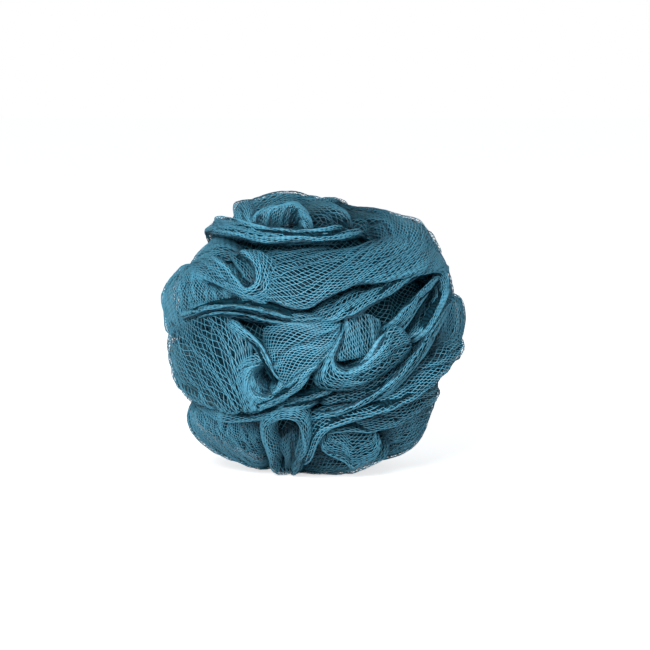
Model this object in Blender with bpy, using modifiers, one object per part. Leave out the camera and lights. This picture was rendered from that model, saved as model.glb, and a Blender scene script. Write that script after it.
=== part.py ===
"""A mesh bath pouf: one long tube of soft netting, gathered into folds and tied round its middle.

Lengths are in metres and +Z is up. The ball stands on a small flat spot at z = 0, and its face,
the side that the hand-laid folds are on, looks along -Y and a little up.
"""

import math

import bmesh
import bpy
import numpy as np
from mathutils import Matrix, Vector, noise

MM = 0.001

# Driving sizes of the ball and of a fold: the roll of its lip, how far its ends dive into the ball, which is
# less on a fold shorter than END_LENGTH and takes up END_SHARE of its run, and the crumpling of its surface.
BALL_RADIUS = 60 * MM
FLAT_SPOT_DEPTH = 5 * MM
FOLD_DEPTH = 15 * MM
LIP_ROLL = 1.1 * MM
LIP_CROWN = 0.3 * MM
END_DROP = 7 * MM
END_LENGTH = 70 * MM
END_SHARE = 0.14
CRUMPLE = 0.9 * MM
CRUMPLE_LENGTH = 17 * MM

# Driving sizes of the tie, its seat in the gathered netting and the passage that its ends leave by.
CORD_DIAMETER = 3 * MM
TIE_TURNS = 3
TURN_STEPS = 16
WAIST_RADIUS = 9 * MM
KNOT_RADIUS = 3.4 * MM
CORD_END = 16 * MM
CLEARANCE = 0.3 * MM
PASSAGE_RADIUS = 3 * MM
SEAT_STEP = 0.1 * MM
SEAT_FACETS = 32
KNOT_FACETS = (16, 10)
PASSAGE_FACETS = 12

# The folds of the face are laid out on a ball of this radius in millimetres, seen from this far above level.
LAYOUT_RADIUS = 60
FACE_TILT = math.radians(6)

# How finely a fold is faceted, and the longest step between its stations.
ACROSS_FACETS = 8
STATION_STEP = 8.5 * MM

# The grain at which the folds are fused to one body, and the share of its faces that is kept.
FUSE_GRAIN = 1.3 * MM
KEPT_FACES = 0.053

# The hidden side: folds spread evenly over the whole ball, less those that the face covers.
SPREAD_FOLDS = 62
SPREAD_LENGTH = 54 * MM
SPREAD_WIDTH = 25 * MM
SPREAD_SINK = 9 * MM
SPREAD_TUCK = 6 * MM
SPREAD_DIP = 9 * MM
SPREAD_STATIONS = 5

# How unlike each other they are: share of the length, sideways bow as a share of the ball's radius, taper of
# the width towards the ends, height, and the wandering direction that they run in.
LENGTH_SHARE = 0.22
BOW = 0.16
TAPER = 0.8
HEIGHT_WANDER = 1.1 * MM
SWIRL_GRAIN = 1.4
SWIRL_PLACE = Vector((3, 1, 7))
SWIRL_LEAN = (0.15, 0.3, 0.2)

# The spread folds end where the face begins, lie lower beside it, and stand level on the underside, which
# the flat spot is cut from. Each limit is the cosine of the angle from the face's middle or from straight up.
FACE_EDGE = 0.12
FACE_SIDE = -0.45
SIDE_SET_BACK = 5 * MM
BACK_SET_BACK = 1.2 * MM
UNDERSIDE = -0.9
UNDERSIDE_SET_BACK = 1 * MM

# Worked out from the sizes above.
CENTRE = Vector((0, 0, BALL_RADIUS - FLAT_SPOT_DEPTH))
CORE_RADIUS = BALL_RADIUS - FOLD_DEPTH
TURN_PITCH = CORD_DIAMETER + CLEARANCE
TURN_RADIUS = WAIST_RADIUS + CLEARANCE + CORD_DIAMETER / 2
TIE_HALF_HEIGHT = TURN_PITCH * TIE_TURNS / 2 + CORD_DIAMETER / 2
KNOT_BACK = TURN_RADIUS + CORD_DIAMETER / 2 + KNOT_RADIUS

# A fold's flank from its tail to just before its lip, as the share of its width and of the sink still left.
FLANK = ((0, 1), (0.16, 0.6), (0.4, 0.24), (0.72, 0.03))

# Each fold of the face: how far in millimetres its tail sinks, how far its inner wall runs past the lip
# (less than 0 where it tucks back underneath), how deep that wall ends, and the stations along it, each
# as lip across, lip up, tail across, tail up and the lip's height above the ball.
FACE_FOLDS = {
    "crown": (7, -8, 9, [
        (-44, 56, -40, 45, -1), (-36, 61, -32, 46, -0.6), (-25, 65, -24, 47, -0.6),
        (-10, 70, -9, 49, -1.9), (4, 69, 4, 46, -6.4), (18, 66, 15, 43, -6), (31, 60, 27, 43, -3.2),
        (44, 54, 37, 42, -1.2),
    ]),
    "crown_corner": (4, -4, 7, [
        (-31.4, 42, -22, 43, -2), (-32, 46.4, -23, 48, -0.2), (-32.2, 50.6, -24, 53, 0.8),
        (-31.6, 55, -24, 58, 0.8), (-29, 61, -22, 63, -1),
    ]),
    "crown_arch": (3, 2, 8, [
        (-24, 41.5, -28, 42, -2), (-23, 45.4, -26.8, 47.6, -0.8), (-18.6, 48, -19.8, 52, -0.2),
        (-12.6, 49.4, -12.6, 53.6, 0), (-8.4, 50.8, -7, 54.6, 0), (-5.6, 48, -2.4, 50.6, -0.4),
        (-4.2, 44, -0.4, 45.6, -0.8), (-3.4, 40.4, 0.4, 41, -2),
    ]),
    "upper_band": (5, -4, 8, [
        (-54, 43, -48, 55, -0.8), (-46, 41, -40, 50, 0.2), (-37.5, 39.4, -33.4, 47, 0),
        (-29, 37.8, -26.6, 44.6, 0), (-21, 36, -19, 42, 0.3), (-12, 36, -10, 41.4, 0.3),
        (-3, 36.6, -2, 40.8, 0.3), (5, 36.6, 4, 40.6, 0.2), (12, 37.4, 11, 41.6, -0.6),
        (18, 39, 17, 43, -2.6), (24, 41, 23, 45, -5.4),
    ]),
    "band_top": (2, -3, 5, [
        (-50, 46.6, -47, 42, 0.4), (-42, 47, -40, 42.4, 1.2), (-35, 46.6, -34, 42, 0),
        (-29, 45, -28.4, 40.6, 0), (-22, 43, -22, 38.8, 0), (-14, 41.8, -14, 38, 0.2),
        (-4, 41, -4, 37.4, 0), (4, 41.6, 3.6, 37.6, -0.8), (10, 43, 9.4, 38.4, -2.8),
        (16, 43.6, 15, 39.4, -5.4),
    ]),
    "left_step": (5, -5, 8, [
        (-56, 28, -55, 48, -3.2), (-47, 27.4, -47, 46, -3), (-38, 27.6, -38, 44, -3.2),
        (-30, 31, -28, 41, -4.6),
    ]),
    "great_sheet": (8, -5, 9, [
        (-27, 17, -33, 35, -1), (-19, 13.2, -21, 38, 0), (-10, 10.2, -9, 39, 0), (-2, 9.6, 1, 39, 0),
        (7, 14.6, 11, 38, 0), (17, 18.6, 21, 40, 0), (29, 20.3, 33, 45, 0), (41, 22.6, 45, 52, 1),
        (53, 25, 56, 50, 0.5), (64, 28, 66, 46, -1),
    ]),
    "right_corner": (4, -5, 8, [
        (24, 56, 24, 42, -5), (31, 54.6, 29, 40, -3.2), (38.4, 52, 33, 38, -1.4), (45.6, 48, 37, 36, 1.7),
        (50, 42, 40, 33, 1.7), (53, 36, 43, 30, 0.8), (57, 29, 46, 27, -1.5),
    ]),
    "notch": (5, 3.5, 10, [
        (-42, 32, -48, 25, -0.5), (-35.6, 27.6, -41, 20, 0.5), (-31, 22.4, -34, 14.8, 0.5),
        (-27, 17.6, -27, 11.5, 0.5), (-23.4, 19.4, -17, 14, 1), (-22.8, 24.4, -14.6, 22, 1),
        (-25.8, 30, -16, 31, 1), (-32, 33.8, -25, 37.6, 0),
    ]),
    "notch_flap": (5, 2, 6, [
        (-33.6, 31.5, -27, 34, -4.2), (-30, 26.2, -22.5, 28, -3.6), (-26.4, 20.6, -20, 21, -4.5),
    ]),
    "shoulder_strap": (5, -4, 9, [
        (-57, 17.6, -55, 33, -3), (-50, 20, -49.6, 33, -1.5), (-43, 20.2, -42.6, 33, -0.6),
        (-36, 18.2, -35, 26, -0.5), (-29.5, 15.2, -28, 20, -0.5), (-22, 12, -21, 16, -1),
        (-14, 10, -13, 13, -1.5),
    ]),
    "left_cheek": (8, -7, 8, [
        (-50, 30, -38, 27, -4.4), (-58, 27.6, -36, 23, 0), (-67, 17, -36, 17, 3), (-67, 6, -38, 10, -0.1),
        (-60, -3, -42, 3, -2),
    ]),
    "left_lobe": (8, -5, 9, [
        (-57, 4, -54, 17, -4), (-51, 5.6, -50, 16.6, -1.5), (-45, 8, -45, 15, -1),
        (-37, 9.8, -37, 13.6, -1.5), (-28, 9.6, -28, 12.6, -1.5), (-18, 7.8, -18, 10.8, -1),
        (-9, 5.6, -9, 9, -1), (-1, 5.6, -1, 9.6, -1.5),
    ]),
    "pocket_lining": (4, -4, 6, [
        (-46, 13, -47, 22, -6), (-38, 13.6, -38, 21.6, -5), (-30, 12.6, -30, 18, -5),
        (-22, 10, -22, 15, -6),
    ]),
    "lower_strap": (6, -3, 7, [
        (-49, 4.6, -48, 9.6, -2), (-40, 7.2, -39, 10.4, -2.5), (-30, 7, -29, 9.6, -2.5),
        (-20, 4.6, -19, 7.6, -2.5), (-11, 3, -10, 5.6, -2.5), (-2, 3.8, -2, 6.4, -3),
    ]),
    "long_band": (8, -4, 9, [
        (-3, 4.4, -7, 10, -2), (8, 4.2, 1, 12.6, -1), (15, 6.2, 9, 16.4, -0.5), (21, 9.6, 17, 19.4, -0.5),
        (28, 13.6, 25, 21.4, -0.5), (35, 18.2, 33, 24, 0), (41, 22.2, 40, 27, 0.5),
        (48, 25.6, 47, 30, 0.5), (55, 26, 54, 31, -0.5),
    ]),
    "right_loop": (8, -3, 9, [
        (49.5, 24, 52, 22, -1), (47, 21.6, 50, 18.4, 0.5), (41.5, 16.4, 46.5, 12.4, 1),
        (36, 10.4, 43, 6, 1), (31, 5.4, 39, 0.4, 0.5), (26.5, 2, 35, -4, -1.5),
    ]),
    "outer_strap": (8, -3, 9, [
        (42, 26.6, 42, 23.6, -0.5), (49.5, 26.6, 48, 23.4, 0), (54, 22.6, 50.4, 21, 0),
        (53.6, 16, 49.4, 15.6, 0), (50.6, 9, 46.4, 8.8, 0), (46.6, 1.4, 42, 2, 0),
        (42, -5.4, 38.4, -3.4, -0.5),
    ]),
    "right_crescent": (7, -5, 8, [
        (51, 44, 44, 40, -1), (54, 36, 47, 36, 0), (58, 26, 50, 26, -0.5), (60, 15, 52, 15, -2),
        (58, 5, 50, 6, -4),
    ]),
    "right_ear": (6, -5, 7, [
        (57, 18, 51, 15, -1), (64, 14, 54, 11, 1.3), (67, 7, 55, 5, 1.2), (66, -2, 54, -3, -0.9),
        (62, -11, 52, -9, -2.4), (57, -19, 49, -14, -5),
    ]),
    "lap_lobe": (3.4, -5, 9, [
        (-68, -13, -70, 5, -1), (-58, -20.2, -61, 6, -0.6), (-49.5, -25.8, -52, 7.4, -0.5),
        (-41, -29.8, -40, 8.6, 0), (-34, -31.6, -30, 4.6, 0.5), (-29.6, -32, -25.6, -5, 0.6),
        (-26, -31.8, -24.6, -17, 0.8), (-21, -30.6, -20.6, -25, 1), (-15.6, -28.6, -15.6, -23.6, 1),
        (-10, -25.8, -11.4, -20.6, 1), (-4, -20.8, -8.4, -16, 1), (1, -14.8, -5, -9, 0.5),
        (4.4, -10, 0, -4, 0),
    ]),
    "crease_ridge": (4, -3, 9, [
        (-33, 6.6, -38, 4, -2.4), (-27, 2, -32, -1.6, -0.8), (-21, -3.4, -26, -6, -0.2),
        (-17.6, -9.4, -22, -10, 0.2), (-14.8, -15.4, -18.4, -15, 0.4), (-11.6, -20, -15, -20, 0),
    ]),
    "dimple": (0.6, 3.6, 10, [
        (-17.4, -12.6, -17.4, -9, -1.4), (-21.6, -11.6, -23, -7.6, -0.4), (-25, -14.4, -29.6, -12.6, 0),
        (-25.6, -19.6, -30, -21.4, 0.2), (-23.6, -23.8, -26, -27.6, 0.4), (-18.6, -25, -17.6, -28.4, 0.5),
        (-14.6, -22.4, -10.4, -23.4, 0.2), (-13.8, -18, -8.6, -17, -0.8),
    ]),
    "middle_lobe": (5, -4, 8, [
        (12, 4.4, 1, 9, -1.5), (9.4, -3, -7, 9, -0.5), (5, -9.8, -15, 8, 0), (0, -15, -21.4, 3, 0),
        (-6.4, -19.6, -21, -6, 0), (-13, -22.6, -19, -14, -1),
    ]),
    "hook": (8, 1.2, 9, [
        (13, 3.4, 9, 4, -0.5), (10.6, -2.6, 6, -3, 0.4), (8, -8.4, 2.6, -10.6, 1),
        (8.6, -12.8, -1, -22, 1), (12.6, -15, 8, -25.8, 1), (18, -13, 17, -25, 1),
        (23, -8.4, 26, -21.6, 1), (27, -3, 34, -16.6, 1), (31, 2.6, 42, -9.4, 0.7),
        (36.5, 2.6, 45, -3.6, -0.5),
    ]),
    "hook_flap": (2.4, -2.6, 5, [
        (5, -12, 9, 3, -3.4), (9, -11.4, 11, 5, -2.4), (13, -10.8, 14, 7.4, -1.8),
        (17, -10.2, 18.4, 8.4, -1.7), (21, -9.2, 23, 7.4, -2), (26, -8, 28.6, 5, -3.2),
    ]),
    "hook_inner": (1, -2.5, 6, [
        (14.6, -13.4, 17, -15.4, -2.2), (19.4, -10.4, 22.4, -13, -0.6), (22.4, -6, 26, -7.8, 0),
        (25.4, -1, 29.6, -2.2, 0), (29, 2.8, 32.4, 1, -0.8),
    ]),
    "right_band": (7, -3, 9, [
        (58, 16, 63, 12, -1.5), (52, 11, 57.4, 7, -1), (45.8, 1.6, 52, -2.6, -0.5),
        (40.2, -7.4, 46, -11.4, 0), (34, -14.6, 39, -20, 0), (27.4, -20.8, 32, -26, 0),
        (20, -25.8, 23, -30, 0), (12, -29.2, 14, -33.6, 0), (4, -31.6, 7, -36.8, -0.5),
        (-4, -32.6, 0, -38, -1.5),
    ]),
    "sweeping_band": (7, -4, 9, [
        (70, 0, 70, 10, 0), (62, -4, 62, 6, 0.5), (55, -13.4, 54, -4, 0), (47, -20.8, 46, -12, 0),
        (39, -26.4, 39, -18.6, 0), (30, -30.6, 31, -24.6, 0.5), (20, -33.6, 22, -27.6, 0.5),
        (11, -36, 13, -29.6, 0.5), (4.6, -39.4, 3, -31.6, 0.5), (1.6, -44.6, -3, -37, 0),
        (-1, -50, -6, -46, -0.5), (-6, -56, -11, -53, -1.5),
    ]),
    "shelf": (7, -4, 8, [
        (54, -23, 52, -15, -4), (46, -28.4, 44, -20.6, -3), (38, -34, 36, -27.4, -2.5),
        (30, -38, 28, -31.4, -2), (22, -39.6, 20, -33.6, -2), (14, -38.8, 13, -35, -2),
        (7, -40, 6, -37, -2), (2, -44, 1, -41, -3),
    ]),
    "flank_upper": (7, -5, 8, [
        (62, -24, 58, -14, -6), (54, -28, 51, -18, -5), (46, -35.6, 43, -26, -3),
        (37, -41.6, 35, -32, -3), (28, -45.6, 26, -38, -4),
    ]),
    "flank_lower": (7, -6, 8, [
        (58, -38, 50, -27, -4.6), (53, -46, 44, -33, -1.2), (44, -54, 37, -40, 0.6),
        (32, -59, 29, -45, -2), (20, -61, 19, -49, -4),
    ]),
    "lower_lining": (4, -4, 6, [
        (36, -15, 38, -9, -6), (28, -21.6, 29, -15, -4.6), (19, -26.4, 19, -20, -4.4),
        (10, -28, 10, -22.6, -5), (1, -29.6, 0, -24, -6),
    ]),
    "under_lip": (7, -4, 9, [
        (-54, -24, -54, -16, -5.6), (-46.4, -30, -46, -22.6, -3), (-41, -33.2, -40, -26, -2),
        (-34, -35.2, -33, -28, -1.5), (-27, -35.4, -26, -28.4, -1.5), (-19, -34, -18, -27.4, -1.5),
        (-11, -31.8, -10, -26, -1.5), (-3, -30.4, -2, -25.4, -2), (5, -29.4, 6, -25, -4),
    ]),
    "inner_lip": (6, -3, 8, [
        (-12, -27, -12, -22, -4), (-4, -27, -3, -22, -3.5), (3, -25, 4, -21, -4),
        (10, -22.4, 10, -18, -5),
    ]),
    "lower_left_lobe": (8, -6, 8, [
        (-54, -27, -46, -23, -7), (-59, -34, -45, -28.6, -1), (-56, -44, -38, -30.4, 2.5),
        (-46, -53, -32, -31.6, 2.1), (-35, -58.6, -27, -32.4, 0.3), (-25, -61.4, -23, -34, -0.8),
        (-16, -63, -19.6, -36, -1.4),
    ]),
    "centre_loop": (8, 3.2, 8, [
        (-13.2, -58, -18.4, -58, -1.5), (-16, -49, -21, -49, 0), (-18.4, -41.6, -23, -42, 0.5),
        (-17.6, -36.2, -23, -34, 0.5), (-12.4, -33.4, -13.4, -28.6, 0.5), (-6.4, -34.6, -2.4, -29.6, 0),
        (-4, -39.6, 0.6, -38, 0), (-3.8, -45, 0.8, -45, 0), (-6.2, -51, -2, -52.4, -0.5),
        (-10.6, -57.6, -5.6, -59, -1.5),
    ]),
    "loop_lining": (3, -3, 5, [
        (-14.6, -40, -8, -34.6, -6.5), (-13.4, -45, -4.4, -40, -5), (-11.6, -50, -4.6, -47, -4),
        (-10.6, -55, -7, -54, -4),
    ]),
    "round_lobe": (7, -4, 7, [
        (3.4, -38.6, 7, -37.4, -2.4), (2.6, -44.4, 9, -38.4, -0.6), (6.6, -48.6, 11, -39, -0.2),
        (12, -51, 13.4, -39.4, 0.4), (15.6, -54, 15.4, -39.4, 0.6), (20, -51.6, 17.6, -39, 0),
        (25, -48.6, 20.6, -38.6, -0.2), (27, -43.4, 23.4, -38, -1), (26, -38.6, 25, -36.6, -2.6),
    ]),
    "base_lobe": (6, -6, 7, [
        (-9, -56, -6, -44, -5), (-2, -56.6, 0, -44.6, -4.6), (6, -57.4, 6, -46, -4),
        (13, -57.6, 11, -47.6, -3.8), (19, -56, 16, -48, -6),
    ]),
}


def smooth_points(points, places):
    """Points on the smooth curve through the given ones; each place runs from 0 to 1 along them."""
    points = np.asarray(points, float)
    last = len(points) - 1
    at = np.asarray(places) * last
    start = np.clip(at.astype(int), 0, last - 1)
    part = (at - start)[:, None]
    one, two = points[start], points[start + 1]
    before = points[np.maximum(start - 1, 0)]
    after = points[np.minimum(start + 2, last)]
    bend = before - 2.5 * one + 2 * two - 0.5 * after
    turn = 1.5 * (one - two) + 0.5 * (after - before)
    return one + part * (0.5 * (two - before) + part * (bend + part * turn))


def even_places(points, count):
    """Places along the smooth curve through the points that lie equal lengths apart."""
    fine = np.linspace(0, 1, 12 * len(points))
    steps = np.linalg.norm(np.diff(smooth_points(points, fine), axis=0), axis=1)
    run = np.concatenate([[0], np.cumsum(steps)])
    return np.interp(np.linspace(0, run[-1], count), run, fine)


def unit(rows):
    return rows / np.linalg.norm(rows, axis=-1, keepdims=True)


def face_direction(across, up, height):
    """The direction from the ball's centre to a place of the layout; what lies past its edge goes behind."""
    radius = LAYOUT_RADIUS + height
    reach = math.hypot(across, up)
    turn = math.asin(reach / radius) if reach < radius else math.pi / 2 + (reach - radius) / radius
    out = math.cos(turn)
    right = math.sin(turn) * across / reach
    rise = math.sin(turn) * up / reach
    tilt_out, tilt_up = math.sin(FACE_TILT), math.cos(FACE_TILT)
    return (right, rise * tilt_out - out * tilt_up, out * tilt_out + rise * tilt_up)


def face_folds():
    """(stations, sink, run, dip) of each face fold; a station is lip direction, tail direction, height."""
    for sink, run, dip, rows in FACE_FOLDS.values():
        stations = [
            (*face_direction(row[0], row[1], row[4]), *face_direction(row[2], row[3], row[4]), row[4] * MM)
            for row in rows
        ]
        yield stations, sink * MM, run * MM, dip * MM


def spread_folds():
    """Folds in the same form over the rest of the ball, on a spiral of even spacing."""
    golden_turn = math.pi * (3 - math.sqrt(5))
    face = np.array(face_direction(0, 1e-6, 0))
    for index in range(SPREAD_FOLDS):
        up = 1 - (2 * index + 1) / SPREAD_FOLDS
        flat = math.sqrt(1 - up * up)
        middle = np.array((flat * math.cos(index * golden_turn), flat * math.sin(index * golden_turn), up))
        facing = float(middle @ face)
        if facing > FACE_EDGE:
            continue
        swirl = np.array(noise.noise_vector(Vector(middle * SWIRL_GRAIN) + SWIRL_PLACE)) + SWIRL_LEAN
        along = unit(np.cross(middle, swirl))
        side = np.cross(middle, along)
        length = SPREAD_LENGTH * (1 + LENGTH_SHARE * math.sin(2.3 * index))
        bow = BOW * math.sin(1.7 * index + 1)
        set_back = SIDE_SET_BACK if facing > FACE_SIDE else BACK_SET_BACK
        height = HEIGHT_WANDER * math.sin(3.1 * index) - set_back
        if up < UNDERSIDE:
            height = -UNDERSIDE_SET_BACK
        stations = []
        for place in np.linspace(-0.5, 0.5, SPREAD_STATIONS):
            lip = middle + along * place * length / BALL_RADIUS + side * bow * (1 - 4 * place * place)
            width = SPREAD_WIDTH / BALL_RADIUS * (1 - TAPER * place * place)
            stations.append((*unit(lip), *unit(lip + side * width), height))
        yield stations, SPREAD_SINK, -SPREAD_TUCK, SPREAD_DIP


def section(length, sink, run, dip, count):
    """The outline across a fold as (way from tail to lip and beyond, height), in equal steps."""
    if run < 0:
        turned = [(length, -LIP_ROLL), (length - LIP_ROLL, -2 * LIP_ROLL)]
    else:
        turned = [(length + 0.1 * run, -0.4 * LIP_ROLL), (length + 0.55 * run, -0.45 * dip)]
    flank = [(share * length, -left * sink) for share, left in FLANK]
    outline = [*flank, (length - LIP_ROLL, LIP_CROWN), *turned, (length + run, -dip)]
    return smooth_points(outline, even_places(outline, count))


def fold_length(fold):
    lips = np.array(fold[0])[:, :3] * BALL_RADIUS
    return float(np.linalg.norm(np.diff(lips, axis=0), axis=1).sum())


def fold_points(fold, along, across):
    """A grid of points on a fold: rows along it, and in each row the way from its tail over its lip."""
    stations, sink, run, dip = fold
    drop = END_DROP * min(1, fold_length(fold) / END_LENGTH)
    rows = smooth_points(stations, even_places(np.array(stations)[:, :3], along))
    grid = []
    for place, row in zip(np.linspace(0, 1, along), rows):
        lip, tail = unit(row[:3]), unit(row[3:6])
        width = math.acos(min(1, float(lip @ tail)))
        beyond = unit(lip - tail * float(lip @ tail))
        beyond = unit(beyond - lip * float(beyond @ lip))
        end_drop = drop * max(0, 1 - min(place, 1 - place) / END_SHARE) ** 2
        for way, height in section(width * BALL_RADIUS, sink, run, dip, across):
            turn = way / BALL_RADIUS - width
            out = lip * math.cos(turn) + beyond * math.sin(turn)
            radius = BALL_RADIUS + row[6] + height - end_drop
            spot = Vector(out * radius)
            radius += CRUMPLE * noise.noise(spot / CRUMPLE_LENGTH)
            grid.append(CENTRE + Vector(out * radius))
    return grid


def clear_scene():
    for old in list(bpy.data.objects):
        bpy.data.objects.remove(old, do_unlink=True)


def new_collection(name, shown):
    collection = bpy.data.collections.new(name)
    bpy.context.scene.collection.children.link(collection)
    collection.hide_render = not shown
    return collection


def new_material(name, colour, roughness):
    material = bpy.data.materials.new(name)
    material.use_nodes = True
    shader = material.node_tree.nodes["Principled BSDF"]
    shader.inputs["Base Color"].default_value = (*colour, 1)
    shader.inputs["Roughness"].default_value = roughness
    shader.inputs["Metallic"].default_value = 0
    return material


def object_of(name, bm, collection):
    bmesh.ops.recalc_face_normals(bm, faces=bm.faces)
    mesh = bpy.data.meshes.new(name)
    bm.to_mesh(mesh)
    bm.free()
    made = bpy.data.objects.new(name, mesh)
    collection.objects.link(made)
    return made


def helper_of(name, bm, collection):
    made = object_of(name, bm, collection)
    made.hide_render = True
    made.display_type = "WIRE"
    return made


def boolean(target, operation, other):
    change = target.modifiers.new(f"{operation.lower()}_{other.name}", "BOOLEAN")
    change.operation = operation
    change.solver = "EXACT"
    change.object = other


def add_fold(bm, fold):
    """One fold as a closed solid: its two walls, a strip that closes them underneath, and two ends."""
    along = max(5, round(fold_length(fold) / STATION_STEP) + 1)
    row = ACROSS_FACETS + 1
    grid = bmesh.ops.create_grid(bm, x_segments=ACROSS_FACETS, y_segments=along - 1, size=0.5)["verts"]
    grid.sort(key=lambda vert: (vert.co.y, vert.co.x))
    for vert, spot in zip(grid, fold_points(fold, along, row)):
        vert.co = spot
    rims = []
    for side in (0, ACROSS_FACETS):
        for place in range(along - 1):
            one, two = grid[place * row + side], grid[(place + 1) * row + side]
            rims += [edge for edge in one.link_edges if edge.other_vert(one) == two]
    bmesh.ops.bridge_loops(bm, edges=rims)
    for end in (grid[:row], grid[-row:]):
        bmesh.ops.contextual_create(bm, geom=end)


def keep_largest_body(bm):
    """Drops every closed surface but the largest: the others are hollows that folds shut in between them."""
    left = set(bm.verts)
    bodies = []
    while left:
        found = [left.pop()]
        body = set(found)
        while found:
            vert = found.pop()
            fresh = {edge.other_vert(vert) for edge in vert.link_edges} - body
            body |= fresh
            found += fresh
        left -= body
        bodies.append(body)
    bodies.sort(key=len)
    bmesh.ops.delete(bm, geom=[vert for body in bodies[:-1] for vert in body], context="VERTS")


def applied_mesh(source):
    graph = bpy.context.evaluated_depsgraph_get()
    return bpy.data.meshes.new_from_object(source.evaluated_get(graph))


def gathered_netting(collection):
    """The netting as one body: the gathered core with every fold fused to it and the creases softened."""
    bm = bmesh.new()
    bmesh.ops.create_icosphere(bm, subdivisions=3, radius=CORE_RADIUS)
    bmesh.ops.translate(bm, verts=bm.verts, vec=CENTRE)
    for fold in [*face_folds(), *spread_folds()]:
        add_fold(bm, fold)
    netting = object_of("netting", bm, collection)
    fuse = netting.modifiers.new("fuse", "REMESH")
    fuse.mode = "VOXEL"
    fuse.voxel_size = FUSE_GRAIN
    fuse.adaptivity = 0
    thin = netting.modifiers.new("thin", "DECIMATE")
    thin.ratio = KEPT_FACES
    mesh = applied_mesh(netting)
    netting.modifiers.clear()
    netting.data = mesh
    bm = bmesh.new()
    bm.from_mesh(mesh)
    keep_largest_body(bm)
    bm.to_mesh(mesh)
    bm.free()
    mesh.shade_smooth()
    return netting


def floor_cutter(collection):
    """All that would lie below the flat spot."""
    bm = bmesh.new()
    bmesh.ops.create_cube(bm, size=4 * BALL_RADIUS)
    bmesh.ops.translate(bm, verts=bm.verts, vec=(0, 0, -2 * BALL_RADIUS))
    return helper_of("floor_cut", bm, collection)


def turns_route():
    """The cord from inside the knot, round the waist and back into the knot."""
    half_rise = TURN_PITCH * TIE_TURNS / 2
    into_knot = CORD_DIAMETER / 2 + CLEARANCE / 2
    route = [CENTRE + Vector((0, KNOT_BACK, -into_knot))]
    for step in range(TIE_TURNS * TURN_STEPS + 1):
        turn = 2 * math.pi * step / TURN_STEPS
        rise = TURN_PITCH * step / TURN_STEPS - half_rise
        route.append(CENTRE + Vector((TURN_RADIUS * math.sin(turn), TURN_RADIUS * math.cos(turn), rise)))
    route.append(CENTRE + Vector((0, KNOT_BACK, into_knot)))
    return route


def cord_along(name, route, collection):
    """A length of the cord as a mesh tube with closed ends."""
    curve = bpy.data.curves.new(name, "CURVE")
    curve.dimensions = "3D"
    curve.bevel_depth = CORD_DIAMETER / 2
    curve.bevel_resolution = 2
    curve.use_fill_caps = True
    spline = curve.splines.new("POLY")
    spline.points.add(len(route) - 1)
    for point, spot in zip(spline.points, route):
        point.co = (*spot, 1)
    drawn = bpy.data.objects.new(name + "_curve", curve)
    collection.objects.link(drawn)
    mesh = applied_mesh(drawn)
    bm = bmesh.new()
    bm.from_mesh(mesh)
    bmesh.ops.remove_doubles(bm, verts=bm.verts, dist=0.01 * MM)
    made = object_of(name, bm, collection)
    bpy.data.objects.remove(drawn, do_unlink=True)
    return made


def waist_tie(shown, hidden):
    """The cord's turns, the knot and the cut end that lies in the passage, joined to one piece."""
    tie = cord_along("centre_tie", turns_route(), shown)
    knot = bmesh.new()
    around, down = KNOT_FACETS
    bmesh.ops.create_uvsphere(knot, u_segments=around, v_segments=down, radius=KNOT_RADIUS)
    bmesh.ops.translate(knot, verts=knot.verts, vec=CENTRE + Vector((0, KNOT_BACK, 0)))
    boolean(tie, "UNION", helper_of("knot", knot, hidden))
    end_route = [CENTRE + Vector((0, KNOT_BACK + way, 0)) for way in (0, KNOT_RADIUS + CORD_END)]
    cut_end = cord_along("cut_end", end_route, hidden)
    cut_end.hide_render = True
    boolean(tie, "UNION", cut_end)
    return tie


def tie_seat(collection):
    """The ring that the turns lie in, as a rectangle spun round the waist."""
    inner = WAIST_RADIUS
    outer = TURN_RADIUS + CORD_DIAMETER / 2 + CLEARANCE
    half = TIE_HALF_HEIGHT + CLEARANCE
    bm = bmesh.new()
    outline = ((inner, -half), (outer, -half), (outer, half), (inner, half))
    corners = [bm.verts.new((reach, 0, rise)) for reach, rise in outline]
    loop = [bm.edges.new((corners[index - 1], corners[index])) for index in range(4)]
    bmesh.ops.spin(
        bm, geom=corners + loop, axis=(0, 0, 1), cent=(0, 0, 0), angle=2 * math.pi, steps=SEAT_FACETS,
        use_merge=True,
    )
    bmesh.ops.translate(bm, verts=bm.verts, vec=CENTRE)
    return helper_of("tie_seat", bm, collection)


def knot_seat(collection):
    """The room for the knot and for the cord on its way into it."""
    near = TURN_RADIUS
    far = KNOT_BACK + KNOT_RADIUS + CLEARANCE
    bm = bmesh.new()
    bmesh.ops.create_cube(bm, size=1)
    size = (2 * (KNOT_RADIUS + CLEARANCE), far - near, 2 * (TIE_HALF_HEIGHT + CLEARANCE) - SEAT_STEP)
    bmesh.ops.scale(bm, verts=bm.verts, vec=size)
    bmesh.ops.translate(bm, verts=bm.verts, vec=CENTRE + Vector((0, (near + far) / 2, 0)))
    return helper_of("knot_seat", bm, collection)


def passage(collection):
    """The way out of the netting behind the knot."""
    start = KNOT_BACK
    length = 2 * BALL_RADIUS
    bm = bmesh.new()
    bmesh.ops.create_cone(
        bm, cap_ends=True, segments=PASSAGE_FACETS, radius1=PASSAGE_RADIUS, radius2=PASSAGE_RADIUS,
        depth=length,
    )
    bmesh.ops.rotate(bm, verts=bm.verts, cent=(0, 0, 0), matrix=Matrix.Rotation(math.pi / 2, 3, "X"))
    bmesh.ops.translate(bm, verts=bm.verts, vec=CENTRE + Vector((0, start + length / 2, 0)))
    return helper_of("passage", bm, collection)


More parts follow.
